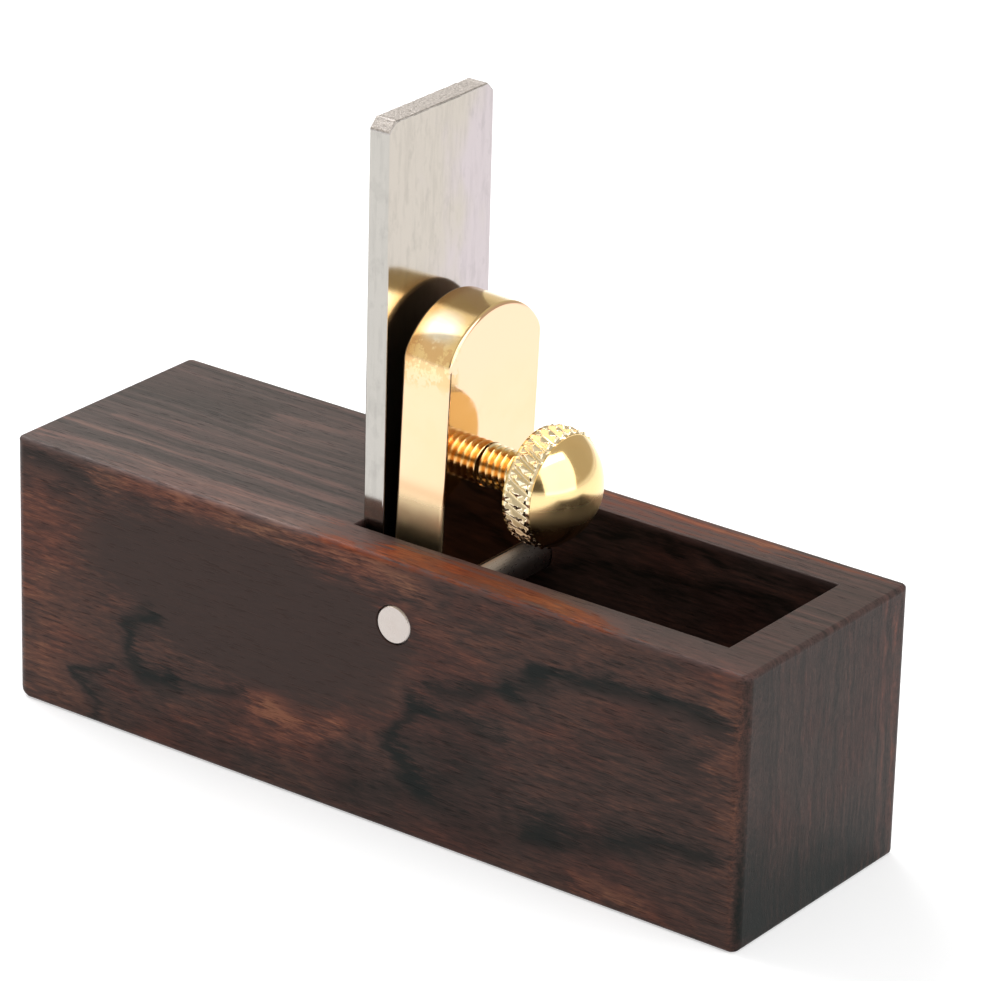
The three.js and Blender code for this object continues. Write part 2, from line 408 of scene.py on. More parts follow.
def makeWoodenBody():
    b = block
    bm = bmesh.new()
    bmesh.ops.create_cube(bm, size=1)
    bmesh.ops.scale(bm, vec=Vector((b["length"], b["width"], b["height"])) * mm, verts=bm.verts)
    bmesh.ops.translate(bm, vec=up * b["height"] * mm / 2, verts=bm.verts)

    # each edge's share of the largest rounding: uprights, the heel's foot and the rest
    most = b["heelFootRound"]
    weights = bm.edges.layers.float.new("bevel_weight_edge")
    for e in bm.edges:
        middle = (e.verts[0].co + e.verts[1].co) / 2 / mm
        rounded = b["edgeRound"]
        if abs(e.verts[0].co.z - e.verts[1].co.z) > nothing:
            rounded = b["farToeRound"] if middle.x > 0 and middle.y > 0 else b["uprightRound"]
        elif middle.z < 1 and middle.x < 1 - b["length"] / 2:
            rounded = b["heelFootRound"]
        e[weights] = rounded / most
    body = newPiece(bm, "block_wood", b["sharp"])
    rounding = body.modifiers.new("rounding", "BEVEL")
    rounding.width = most * mm
    rounding.segments = b["roundSegments"]
    rounding.limit_method = "WEIGHT"
    applyAll(body)

    # the well with its mouth through the sole, then the cross bore
    mouthX = b["bedX"] + b["mouth"]
    ridgeX = mouthX + (b["floor"] - b["lip"]) / math.tan(math.radians(b["slope"]))
    low, high = b["wellCut"]
    outline = [(b["bedX"], low), (mouthX, low), (mouthX, b["lip"]), (ridgeX, b["floor"]),
               (b["wellEndX"], b["floor"]), (b["wellEndX"], high), (b["bedX"], high)]
    well = prism([(x * mm, 0, z * mm) for x, z in outline], across * -b["wellWidth"] / 2 * mm,
                 across * b["wellWidth"] * mm)
    for x, radius in ((ridgeX, b["ridge"]), (b["wellEndX"], b["fillet"])):
        corner = edgesWhere(well, lambda co: (co.xz - Vector((x, b["floor"])) * mm).length < nothing)
        bevelEdges(well, corner, radius * mm, b["filletSegments"])
    bore = rod(b["boreRadius"] * mm, b["boreCut"] * mm, pinPlace * mm, across)
    cutWith(body, [newPiece(well, "well"), newPiece(bore, "bore")])
    soften(body, b["rimSoft"] * mm)
    return body


# iron, whose sawn top keeps a little burr along its two long edges
iron = dict(back=-4.05, thickness=2.2, width=14.7, length=63, bottom=0.15, clip=0.9, bevel=30,
            softEdge=0.14, burrBelow=0.3, burrCuts=44, burr=0.045, burrScales=(2600, 1900), sharp=24)


def makeIron():
    i = iron
    bm = bmesh.new()
    bmesh.ops.create_cube(bm, size=1)
    bmesh.ops.scale(bm, vec=Vector((i["thickness"], i["width"], i["length"])) * mm, verts=bm.verts)
    middle = Vector((i["back"] + i["thickness"] / 2, 0, i["bottom"] + i["length"] / 2))
    bmesh.ops.translate(bm, vec=middle * mm, verts=bm.verts)
    top = (i["bottom"] + i["length"]) * mm
    corners = squareTo(across, edgesWhere(bm, lambda co: co.z > top - nothing))
    bevelEdges(bm, corners, i["clip"] * mm, 1)
    grind = i["thickness"] / math.tan(math.radians(i["bevel"])) * mm
    heel = [v for v in bm.verts if v.co.z < mm and v.co.x < (i["back"] + i["thickness"] / 2) * mm]
    bmesh.ops.translate(bm, vec=up * grind, verts=heel)

    bmesh.ops.bisect_plane(bm, geom=bm.verts[:] + bm.edges[:] + bm.faces[:], dist=planeGap, plane_no=up,
                           plane_co=up * (top - i["burrBelow"] * mm))
    rim = squareTo(along, edgesWhere(bm, lambda co: co.z > top - nothing))
    cuts = bmesh.ops.subdivide_edges(bm, edges=rim, cuts=i["burrCuts"])
    dropScale, leanScale = i["burrScales"]
    for v in vertsIn(cuts["geom_inner"]):
        v.co.z -= i["burr"] * mm * (1 + noise.noise(v.co * dropScale))
        v.co.x += i["burr"] * mm * noise.noise(v.co * leanScale + up)
    piece = newPiece(bm, "iron_steel", i["sharp"])
    soften(piece, i["softEdge"] * mm)
    return piece


# lever cap, drawn with x outwards from the iron and z upwards from the pin, then tilted into place
lever = dict(tilt=2, front=0.45, thickness=5.1, width=13.3, head=26.4, tail=9, crown=7.6, crownSteps=72,
             shoulder=2.2, shoulderSteps=12, edgeRound=0.35, edgeSegments=5, groove=1.88, bore=2.02,
             screwHeight=11.3, noseStart=2.9, noseBelly=3.4, noseSteps=24, toe=1.1, cutPast=2, cutWidth=20,
             softEdge=0.05)
tilted = Matrix.Translation(pinPlace * mm) @ Matrix.Rotation(math.radians(lever["tilt"]), 4, "Y")


def makeLeverCap():
    c = lever
    half = c["width"] / 2
    crownZ = c["head"] - c["crown"]
    shoulderY = half - c["shoulder"]
    between = c["crown"] - c["shoulder"]
    shoulderZ = crownZ + math.sqrt(between ** 2 - shoulderY ** 2)
    blend = math.atan2(shoulderZ - crownZ, shoulderY)
    back = c["front"] - c["thickness"]

    # the outline's arcs are spun from one corner, then closed along the straight sides and the tail
    bm = bmesh.new()
    tip = bm.verts.new(Vector((back, half, shoulderZ)) * mm)
    for y, z, turn, steps in ((shoulderY, shoulderZ, blend, c["shoulderSteps"]),
                              (0, crownZ, math.pi - 2 * blend, c["crownSteps"]),
                              (-shoulderY, shoulderZ, blend, c["shoulderSteps"])):
        swept = bmesh.ops.spin(bm, geom=[tip], cent=Vector((back, y, z)) * mm, axis=along, angle=turn,
                               steps=steps, use_merge=False)
        tip = vertsIn(swept["geom_last"])[0]
    bmesh.ops.remove_doubles(bm, verts=bm.verts, dist=mergeGap)
    ends = [v for v in bm.verts if len(v.link_edges) == 1]
    tail = [bm.verts.new(Vector((v.co.x, v.co.y, -c["tail"] * mm))) for v in ends]
    for end, low in zip(ends, tail):
        bm.edges.new((end, low))
    bm.edges.new(tail)
    bmesh.ops.contextual_create(bm, geom=bm.edges[:])
    drawn = bmesh.ops.extrude_face_region(bm, geom=bm.faces[:])
    bmesh.ops.translate(bm, vec=along * c["thickness"] * mm, verts=vertsIn(drawn["geom"]))
    bmesh.ops.recalc_face_normals(bm, faces=bm.faces)
    rims = [e for e in bm.edges if any(abs(f.normal.x) > 0.9 for f in e.link_faces)]
    bevelEdges(bm, rims, c["edgeRound"] * mm, c["edgeSegments"])
    cap = newPiece(bm, "lever_cap_brass")

    # the nose curves back to a thin toe, the groove sits over the pin and the bore takes the screw
    toe, low = back + c["toe"], -c["tail"]
    start, bend = Vector((toe, 0, low)), Vector((c["front"], 0, low + c["noseBelly"]))
    end = Vector((c["front"], 0, -c["noseStart"]))
    curve = interpolate_bezier(start, start.lerp(bend, 2 / 3), end.lerp(bend, 2 / 3), end, c["noseSteps"])
    outerX, outerZ = c["front"] + c["cutPast"], low - c["cutPast"]
    outer = [(outerX, 0, -c["noseStart"]), (outerX, 0, outerZ), (toe, 0, outerZ)]
    cutWidth = c["cutWidth"] * mm
    nose = prism([Vector(p) * mm for p in [*curve, *outer]], across * -cutWidth / 2, across * cutWidth)
    groove = rod(c["groove"] * mm, cutWidth, Vector((0, 0, 0)), across)
    bore = rod(c["bore"] * mm, cutWidth, up * c["screwHeight"] * mm, along)
    cutWith(cap, [newPiece(nose, "nose"), newPiece(groove, "groove"), newPiece(bore, "bore")])
    soften(cap, c["softEdge"] * mm)
    cap.data.transform(tilted)
    return cap


# threaded stud: its thread is a quarter of the pitch wide at the root and an eighth at the crest
stud = dict(start=-5.1, end=8.8, radius=2, root=1.57, pitch=0.7, steps=48, mergeGap=0.002, sharp=25)
onScrew = tilted @ Matrix.Translation(up * lever["screwHeight"] * mm)


# the thread is spun past both ends, which are then cut off flat
def makeStud():
    s = stud
    turns = math.ceil((s["end"] - s["start"]) / s["pitch"]) + 3
    first = s["start"] - 1.5 * s["pitch"]
    rootFlat, crestFlat = s["pitch"] / 4, s["pitch"] / 8
    flank = (s["pitch"] - rootFlat - crestFlat) / 2
    stations = [0, rootFlat, rootFlat + flank, rootFlat + flank + crestFlat, s["pitch"]]
    radii = [s["root"], s["root"], s["radius"], s["radius"], s["root"]]
    bm = bmesh.new()
    join(bm, [bm.verts.new(Vector((first + x, 0, r)) * mm) for x, r in zip(stations, radii)])
    bmesh.ops.spin(bm, geom=bm.verts[:] + bm.edges[:], cent=(0, 0, 0), axis=along,
                   angle=2 * math.pi * turns, dvec=along * s["pitch"] / s["steps"] * mm,
                   steps=s["steps"] * turns, use_merge=False)
    bmesh.ops.remove_doubles(bm, verts=bm.verts, dist=s["mergeGap"] * mm)
    for station, outwards in ((s["start"], -along), (s["end"], along)):
        cut = bmesh.ops.bisect_plane(bm, geom=bm.verts[:] + bm.edges[:] + bm.faces[:], dist=planeGap,
                                     plane_co=along * station * mm, plane_no=outwards, clear_outer=True)
        rim = [g for g in cut["geom_cut"] if isinstance(g, bmesh.types.BMEdge)]
        bmesh.ops.edgeloop_fill(bm, edges=rim)
    bmesh.ops.transform(bm, matrix=onScrew, verts=bm.verts)
    return newPiece(bm, "stud_thread", s["sharp"])


# thumb knob with a crossed knurl and a dome
knob = dict(back=5.6, rim=5.45, band=2.9, chamfer=0.35, dome=5.05, rise=2.9, domeSteps=26, socket=2.04,
            socketDepth=3.5, ridges=30, knurlDepths=(0.2, 0.4), knurlAngle=24, samples=14, rows=28,
            crest=0.92, fade=0.12, fadeFrom=0.35, sharp=32)


def makeKnob():
    k = knob
    low, high = k["chamfer"], k["band"] - k["chamfer"]
    ball = (k["dome"] ** 2 + k["rise"] ** 2) / (2 * k["rise"])
    centre = k["band"] + k["rise"] - ball
    base = math.asin(k["dome"] / ball)
    angles = [base * (1 - i / k["domeSteps"]) for i in range(k["domeSteps"] + 1)]
    dome = [(ball * math.sin(angle), centre + ball * math.cos(angle)) for angle in angles]
    band = [(k["rim"], low + (high - low) * i / k["rows"]) for i in range(k["rows"] + 1)]
    profile = [(0, k["socketDepth"]), (k["socket"], k["socketDepth"]), (k["socket"], 0),
               (k["rim"] - k["chamfer"], 0), *band, (k["rim"] - k["chamfer"], k["band"]), *dome]
    bm = bmesh.new()
    join(bm, [bm.verts.new((station * mm, 0, radius * mm)) for radius, station in profile])
    bmesh.ops.spin(bm, geom=bm.verts[:] + bm.edges[:], cent=(0, 0, 0), axis=along, angle=2 * math.pi,
                   steps=k["ridges"] * k["samples"], use_merge=True)
    bmesh.ops.remove_doubles(bm, verts=bm.verts, dist=mergeGap)

    # the knurl pushes the band in along two crossing sets of slanting grooves, which fade at its ends
    wide = 2 * math.pi * k["rim"] / k["ridges"]
    slant = math.tan(math.radians(k["knurlAngle"])) / wide
    for v in bm.verts:
        station, radius = v.co.x / mm, math.hypot(v.co.y, v.co.z) / mm
        if abs(radius - k["rim"]) > 0.01:
            continue  # not on the band
        turn = math.atan2(v.co.z, v.co.y) / (2 * math.pi) * k["ridges"]
        ends = min(1, min(station - low, high - station) / k["fade"] + k["fadeFrom"])
        depth = 0
        for side, full in zip((1, -1), k["knurlDepths"]):
            wave = 1 - abs(2 * ((turn + side * station * slant) % 1) - 1)
            hump = 0.5 - 0.5 * math.cos(math.pi * min(wave / k["crest"], 1))
            depth = max(depth, full * (1 - hump * ends))
        v.co.yz *= (radius - depth) / radius
    bmesh.ops.transform(bm, matrix=onScrew @ Matrix.Translation(along * k["back"] * mm), verts=bm.verts)
    return newPiece(bm, "knob_brass", k["sharp"])


# rosewood: growth layers round a slanting heart, fibres along X, and strokes of its own on three sides;
# scales are per millimetre along x, y and z, pairs are where a change starts and ends, and tones run
# from 0, dark, to 1, light
wood = dict(
    tones=[(0.10, (0.004, 0.006, 0.005)), (0.27, (0.015, 0.011, 0.009)), (0.47, (0.040, 0.023, 0.019)),
           (0.62, (0.068, 0.033, 0.025)), (0.78, (0.118, 0.050, 0.033)), (0.95, (0.200, 0.092, 0.052))],
    broadScales=(0.035, 0.05, 0.09), mediumScales=(0.11, 0.25, 0.33), fibreScales=(0.36, 2.7, 2.7),
    fineScales=(0.8, 12, 12), poreScales=(0.5, 6.5, 6.5),
    archHeight=9.5, archCurve=10.4, layerStep=11.5, layerWaver=(30, 12), innerLean=0.08,
    wideBand=9, fineBand=3.1, nearDepth=(0.2, 4.5), farDepth=(20.3, 24.4), skin=(0.7, 0.05),
    wellMargin=(0.05, 0.35), bedMargin=(-0.3, 0.1), wellTop=(25, 25.6), wellRimShade=(16, 23),
    wellEndLight=(10, 30), aheadFrom=(-9, -3), insideTone=0.43, nearTone=0.545, waxing=(-0.22, 0.10),
    plainDarker=0.075, plainCentre=(-12.5, 16.3), plainSize=(18.5, 7.5), plainEdge=(0.84, 1.12),
    lightFrom=(0.60, 0.80), glowSide=(-6, 8), amber=(1.12, 0.79, 0.55), warm=(1.06, 0.93, 0.92),
    topLight=0.45, topSheen=(0.092, 0.074, 0.072), topSheenShare=0.55,
    drift=(1.10, 0.80, 0.76), driftFrom=(0.42, 0.62), driftShare=0.6,
    arrisWidth=(0.10, 0.55), arrisPaleAndLit=1.4, arrisShare=0.2, arrisRough=0.3,
    pore=0.4, poreFrom=(0.57, 0.68), poreRough=0.2,
    specular=0.13, sheen=0.36, bumpHeight=0.00003, bumpStrength=0.45)
# bent lines in millimetres, how wide each one is and how much darker or lighter it makes the wood:
# on the near side (x, z), on the top (x, y) and on the toe (y, z)
nearFigure = [
    ([(-23.5, 12.4), (-26.4, 10.6), (-27.0, 8.0), (-24.6, 6.3), (-21, 6.6)], 1.5, -0.36),
    ([(-21, 6.8), (-13, 7.8)], 0.8, -0.20),
    ([(-29, 5.6), (-31.2, 3.8), (-31.6, 0)], 1.2, -0.32),
    ([(-38.5, 24.6), (-31, 23.4)], 1.1, -0.22),
    ([(-36, 21.8), (-33, 22)], 1.0, -0.18),
    ([(37, 20.8), (26, 20.6), (20, 19.8)], 1.2, -0.34),
    ([(20, 19.6), (16, 17.2)], 1.7, -0.28),
    ([(16, 17), (12, 15.9), (8, 14.6)], 0.9, -0.28),
    ([(14.6, 12.9), (10, 13.3), (6, 12.6)], 0.9, -0.32),
    ([(6, 12.6), (4.2, 10.4), (4.6, 7.6), (6.5, 5.8)], 1.5, -0.34),
    ([(-2, 3.2), (6, 4.4), (14, 4.7), (20, 5.3)], 3.0, -0.17),
    ([(18, 5.3), (28, 7.0), (37, 8.4)], 1.6, -0.26),
    ([(8, 8), (13, 8.5)], 4.6, -0.17),
    ([(14, 12), (33, 12)], 8.0, -0.03),
    ([(31, 17.4), (36, 15.6)], 1.8, -0.12),
    ([(-30, 3), (-12, 2.5)], 2.6, -0.06),
    ([(-11.6, 6.8), (-9.6, 7.2)], 1.9, 0.20),
    ([(-9, 7.0), (-3, 8.0)], 1.9, 0.22),
    ([(-20, 3.8), (-6, 5.2)], 1.4, 0.10),
    ([(-2, 8.5), (3, 12.5), (6, 17)], 1.8, 0.10),
    # the light stroke just under the near top edge is partly figure, partly a painted highlight below the
    # rounded arris
    ([(-30, 25.2), (-10, 25.4), (1, 24.8), (6, 23.8)], 2.0, 0.24),
    ([(7, 20), (13, 20.6)], 2.2, 0.10),
    ([(25, 1.4), (31, 1.8)], 1.9, 0.20),
    ([(38.6, 23), (38.9, 12)], 2.6, 0.13),
    ([(-36, 3), (-36.5, 20)], 6.0, 0.17)]
topFigure = [
    ([(-38, -6.4), (-24, -6.2), (-8, -4.9)], 1.0, 0.24),
    ([(-36, -2.9), (-10, -2.2)], 0.9, 0.22),
    ([(-38, -9.6), (-18, -9.6), (-5, -8.7)], 1.1, 0.24),
    ([(-31, -0.5), (-14, 0.5)], 0.8, 0.18),
    ([(-25, 5.6), (-13, 8.4)], 1.2, 0.26),
    ([(-24, 3.0), (-16, 4.5)], 1.0, 0.20),
    ([(-36, -4.7), (-10, -3.6)], 0.6, -0.14),
    ([(-37, -8.0), (-8, -6.9)], 0.7, -0.14),
    ([(-39, 4), (-28, 5)], 5.5, -0.14),
    ([(3, -10.4), (24, -10.8)], 2.8, 0.32),
    ([(9, 10.8), (26, 10.8)], 2.6, 0.34),
    ([(26, 10.8), (37, 10.8)], 2.0, 0.18)]
toeFigure = [
    # the wide dark stroke low across the toe darkens it towards the floor
    ([(-10, 2.0), (5, 1.4)], 7.0, -0.27),
    ([(-12.4, 3), (-12, 24)], 5.0, -0.20),
    ([(9.5, 5), (10.5, 24)], 5.0, 0.08)]


def strokesOn(n, place, figure):
    total = 0
    for points, width, change in figure:
        total = (1 - n.step(n.gapTo(place, points), width * -0.1, width * 1.2)) * change + total
    return total


def makeRosewood():
    w, b = wood, block
    halfLength, halfWidth, height = b["length"] / 2, b["width"] / 2, b["height"]
    material, n, shader = newMaterial("rosewood_oiled", Specular_IOR_Level=w["specular"])
    place = n.place()
    x, y, z = place
    depth = y + halfWidth
    broad = n.noise(place, w["broadScales"], 2) - 0.5
    medium = n.noise(place, w["mediumScales"], 3) - 0.5
    fibre = n.noise(place, w["fibreScales"], 4, 0.66) - 0.5
    fine = n.noise(place, w["fineScales"], 2, 0.6) - 0.5

    # where on the block: its near and far sides, top, ends and well, and the top ahead of the iron
    nearSide = 1 - n.step(depth, *w["nearDepth"])
    farSide = n.step(depth, *w["farDepth"])
    inner, outer = w["skin"]
    top = n.step(z, height - inner, height - outer)
    ends = n.step(n.absolute(x), halfLength - inner, halfLength - outer) * (1 - top)
    wellSide = [b["wellWidth"] / 2 + margin for margin in w["wellMargin"]]
    wellEnd = [b["wellEndX"] + margin for margin in w["wellMargin"]]
    bed = [b["bedX"] + margin for margin in w["bedMargin"]]
    inWell = (1 - n.step(n.absolute(y), *wellSide)) * (1 - n.step(z, *w["wellTop"]))
    inWell = inWell * n.step(x, *bed) * (1 - n.step(x, *wellEnd))
    ahead = n.step(x, *w["aheadFrom"])

    # growth layers: arches towards the toe on the near side, long lines on the top, upright ones on the toe
    arch = (z - w["archHeight"]) * (z - w["archHeight"]) / w["archCurve"]
    lean = x * (nearSide * (1 - w["innerLean"]) + w["innerLean"])
    broadWaver, mediumWaver = w["layerWaver"]
    layers = lean - arch + depth * w["layerStep"] + broad * broadWaver + medium * mediumWaver
    bands = n.noiseLine(layers / w["wideBand"], 1) * 0.55
    bands = bands + n.noiseLine(layers / w["fineBand"] + 40) * 0.45 - 0.5
    endGrain = n.noise(n.vector(x * 0.2, y * 3.4 + broad * 4, z * 0.45), None, 3, 0.62) - 0.5
    upright = n.noiseLine((y + medium * 1.6 + z * 0.04) * 1.1 + 3) - 0.5
    inside = w["insideTone"] + bands * (0.75 - ends * 0.50) + endGrain * ends * 0.60
    inside = inside + fibre * 0.36 + fine * 0.12
    inside = inside + ends * (upright * 0.42 - 0.04) + inWell * (fibre * 0.4 + bands * 0.4 + 0.03)
    # painted shade in the well, darkest under its rim, and painted light towards its far end
    inside = inside + inWell * (n.step(x, *w["wellEndLight"]) * 0.06 - n.step(z, *w["wellRimShade"]) * 0.14)
    inside = inside + farSide * (bands * 0.5 + fibre * 0.3)

    # the near side: a plain lens in reddish fibres, with dark and light strokes that wax and wane
    centreX, centreZ = w["plainCentre"]
    sizeX, sizeZ = w["plainSize"]
    rise = n.maths("MAXIMUM", centreX - x, 0) * 0.1 + centreZ
    far = n.length((x - centreX) / sizeX, (z - rise) / sizeZ, 0) + medium * 0.6 + fibre * 0.35
    plain = 1 - n.step(far, *w["plainEdge"])
    wild = 1 - plain
    waxing = n.step(medium + fibre * 0.9, *w["waxing"]) * 0.5 + 0.72
    bentNear = n.vector(x + medium * 9 + fibre * 5, z + broad * 4 - medium * 3 + fine + fibre * 1.5, 0)
    near = strokesOn(n, bentNear, nearFigure) * waxing + w["nearTone"] - plain * w["plainDarker"]
    near = near + fibre * (wild * 0.70 + 0.10) + fine * (wild * 0.34 + 0.10) + bands * wild * 0.34

    # the top and the toe carry strokes of their own, the top's near half behind the iron fine lines as well
    lines = n.noiseLine((y + broad * 3 + medium * 0.8 - x * 0.035) * 1.3 + 7) - 0.5
    bentTop = n.vector(x + fibre * 14, y + broad * 3 + medium + fine * 1.5, 0)
    onTop = strokesOn(n, bentTop, topFigure) + lines * (1 - n.step(y, -1.5, 0.5)) * (1 - ahead) * 0.8
    onToe = strokesOn(n, n.vector(y + broad * 2, z + medium * 3, 0), toeFigure)
    tone = inside + (near - inside) * nearSide + onTop * top + onToe * ends * n.step(x, 0, 1)
    colour = n.ramp(tone, w["tones"])

    # redder drifts, amber light strokes ahead of the iron, then painted light and sheen that make the top
    # paler and greyer
    drift = n.step(n.noise(n.vector(x * 0.09 + 7, y * 0.2, z * 0.16)), *w["driftFrom"])
    drift = drift * (1 - plain * nearSide) * w["driftShare"]
    colour = n.mix(drift, colour, n.vectors("MULTIPLY", colour, w["drift"]))
    light = n.step(tone, *w["lightFrom"])
    colour = n.mix(top * ahead, colour, n.vectors("MULTIPLY", colour, w["warm"]))
    glowing = top * ahead * light * (1 - n.step(y, *w["glowSide"]) * 0.7)
    colour = n.mix(glowing, colour, n.vectors("MULTIPLY", colour, w["amber"]))
    # painted light makes the top paler and painted sheen makes it greyer
    litTop = top * (1 - light * ahead) * (1 - ahead * 0.4)
    topSheen = n.tint(w["topSheen"], tone * 1.2 + 0.42)
    colour = n.mix(litTop * w["topSheenShare"], n.tint(colour, 1 + litTop * w["topLight"]), topSheen)

    # rubbed arrises, paler from wear and from a painted highlight: near an edge, the two shortest of the
    # three ways out of the block add up to little
    outX, outY = halfLength - n.absolute(x), halfWidth - n.absolute(y)
    outZ = n.maths("MINIMUM", z, height - z)
    longest = n.maths("MAXIMUM", n.maths("MAXIMUM", outX, outY), outZ)
    arris = 1 - n.step(outX + outY + outZ - longest + fibre, *w["arrisWidth"])
    colour = n.mix(arris * w["arrisShare"], colour, n.tint(colour, w["arrisPaleAndLit"]))

    # open pores: short dark dashes along the fibres
    pores = n.step(n.noise(place, w["poreScales"], 2, 0.55), *w["poreFrom"])
    colour = n.tint(colour, 1 - pores * (1 - plain * nearSide * 0.7) * w["pore"])
    roughness = w["sheen"] + fine * 0.12 + pores * w["poreRough"] + arris * w["arrisRough"]
    n.feed(shader.inputs["Base Color"], colour)
    n.feed(shader.inputs["Roughness"], roughness)
    relief = fibre * 0.5 + fine * 0.3 - pores
    n.feed(shader.inputs["Normal"], n.bump(relief, w["bumpHeight"], w["bumpStrength"]))
    return material


# satin steel for the iron, warm with mauve patches, and rough where its top was ground
steel = dict(mauve=(0.532, 0.474, 0.485), beige=(0.512, 0.466, 0.412), edgeTone=(0.468, 0.447, 0.414),
             groundTone=(0.50, 0.47, 0.455), rough=0.075, groundRough=0.38,
             patchScales=(0.12, 0.13, 0.06), patchFrom=(-0.16, 0.06), edgeWidth=0.1,
             streakScales=(2, 1.6, 0.22), streakFrom=(0.46, 0.68), streakDark=0.08,
             smudgeScales=(0.5, 0.8, 0.4), smudgeFrom=(0.52, 0.66), smudgeDark=0.09,
             gritScales=(4.5, 3.6, 4.5), gritFrom=(0.30, 0.66), gritBump=0.0001,
             topGround=(-0.25, -0.08), cornerGround=(-0.25, -0.05),
             hairScales=(9, 9, 0.25), hairBump=0.000004)


def makeIronSteel():
    s = steel
    halfWidth, top = iron["width"] / 2, iron["bottom"] + iron["length"]
    material, n, shader = newMaterial("iron_satin", Metallic=1)
    place = n.place()
    _, y, z = place
    patch = n.noise(place, s["patchScales"], 3, 0.6)
    streak = n.noise(place, s["streakScales"], 4, 0.62)
    smudge = n.noise(place, s["smudgeScales"], 4, 0.66)
    hair = n.noise(place, s["hairScales"], 3, 0.7)
    grit = n.noise(place, s["gritScales"], 4, 0.75)
    aside = n.absolute(y)
    colour = n.mix(n.step(patch + y * 0.03 - z * 0.012, *s["patchFrom"]), s["beige"], s["mauve"])
    colour = n.mix(n.step(aside, halfWidth - s["edgeWidth"], halfWidth), colour, s["edgeTone"])
    colour = n.tint(colour, 0.99 - n.step(streak, *s["streakFrom"]) * s["streakDark"])
    colour = n.tint(colour, 0.96 + smudge * 0.1 - n.step(smudge, *s["smudgeFrom"]) * s["smudgeDark"])

    # ground on the top and on the two clipped corners
    corner = top + halfWidth - iron["clip"]
    onTop = n.step(z, *(top + depth for depth in s["topGround"]))
    onCorner = n.step(z + aside, *(corner + depth for depth in s["cornerGround"]))
    ground = n.maths("MAXIMUM", onTop, onCorner)
    colour = n.mix(ground, colour, n.tint(s["groundTone"], 0.55 + n.step(grit, *s["gritFrom"]) * 0.5))
    roughness = s["rough"] + hair * 0.05 + smudge * 0.03 + ground * s["groundRough"]
    n.feed(shader.inputs["Base Color"], colour)
    n.feed(shader.inputs["Roughness"], roughness)
    hairBump = n.bump(hair, s["hairBump"], 0.35)
    n.feed(shader.inputs["Normal"], n.bump(grit * ground, s["gritBump"], 0.6, hairBump))
    return material


# ground steel for the cross pin
pinFinish = dict(darker=(0.50, 0.44, 0.405), paler=(0.53, 0.485, 0.455), rough=0.22,
                 hairScales=(11, 2, 0.9), cloudScales=(0.8, 0.8, 0.8), hairBump=0.000002)


def makePinSteel():
    p = pinFinish
    material, n, shader = newMaterial("pin_ground", Metallic=1)
    place = n.place()
    hair = n.noise(place, p["hairScales"], 3, 0.7)
    cloud = n.noise(place, p["cloudScales"])
    n.feed(shader.inputs["Base Color"], n.mix(cloud, p["darker"], p["paler"]))
    n.feed(shader.inputs["Roughness"], p["rough"] + hair * 0.14)
    n.feed(shader.inputs["Normal"], n.bump(hair, p["hairBump"], 0.3))
    return material


# polished brass with deeper drifts, smudges and faint hairlines from the buffing wheel
brass = dict(cloudScales=(0.22, 0.22, 0.22), cloudFrom=(0.35, 0.75),
             smudgeScales=(0.6, 0.5, 0.5), smudgeFrom=(0.52, 0.70), smudgeRough=0.05,
             hairScales=(1.2, 1.2, 12), hairRough=0.02, hairBump=0.0000015)


def brassClouds(n, place):
    return n.noise(place, brass["cloudScales"], 3, 0.55)


def brassSmudges(n, place):
    return n.step(n.noise(place, brass["smudgeScales"], 4, 0.65), *brass["smudgeFrom"])


# the finish that all three brass pieces share, with each piece's own marks added
def makeBrass(name, finish, addMarks):
    b = brass
    material, n, shader = newMaterial(name, Metallic=1)
    place = n.place()
    hair = n.noise(place, b["hairScales"], 2, 0.6)
    colour = n.mix(n.step(brassClouds(n, place), *b["cloudFrom"]), finish["tone"], finish["deep"])
    roughness = finish["rough"] + hair * b["hairRough"] + brassSmudges(n, place) * b["smudgeRough"]
    colour, roughness = addMarks(n, place, colour, roughness)
    n.feed(shader.inputs["Base Color"], colour)
    n.feed(shader.inputs["Roughness"], roughness)
    n.feed(shader.inputs["Normal"], n.bump(hair, b["hairBump"], 0.3))
    return material


# how far a place lies from the pin, outwards along the screw's axis
def outwardsAt(x, z):
    lean = math.radians(lever["tilt"])
    return (x - pinPlace.x) * math.cos(lean) - (z - pinPlace.z) * math.sin(lean)


# how far a place lies above the screw's axis
def aboveAt(x, z):
    lean = math.radians(lever["tilt"])
    return (x - pinPlace.x) * math.sin(lean) + (z - pinPlace.z) * math.cos(lean) - lever["screwHeight"]


# the knob: a paler knurl with painted light on top and painted shade low down, darker behind, and a painted
# dark reflection low on the near side of the dome
knobFinish = dict(tone=(0.95, 0.72, 0.36), deep=(0.93, 0.67, 0.32), rough=0.09,
                  knurlTone=(0.92, 0.82, 0.59), knurlShade=(0.50, 0.34, 0.20), knurlShadeFrom=(27.8, 31.0),
                  knurlRough=0.08, backTone=(0.66, 0.48, 0.20),
                  reflectionTone=(0.42, 0.29, 0.13), reflectionSide=(-3.4, 0.6), reflectionTop=(28.4, 30.2),
                  lowRough=0.26, lowBand=(29.6, 1.5))


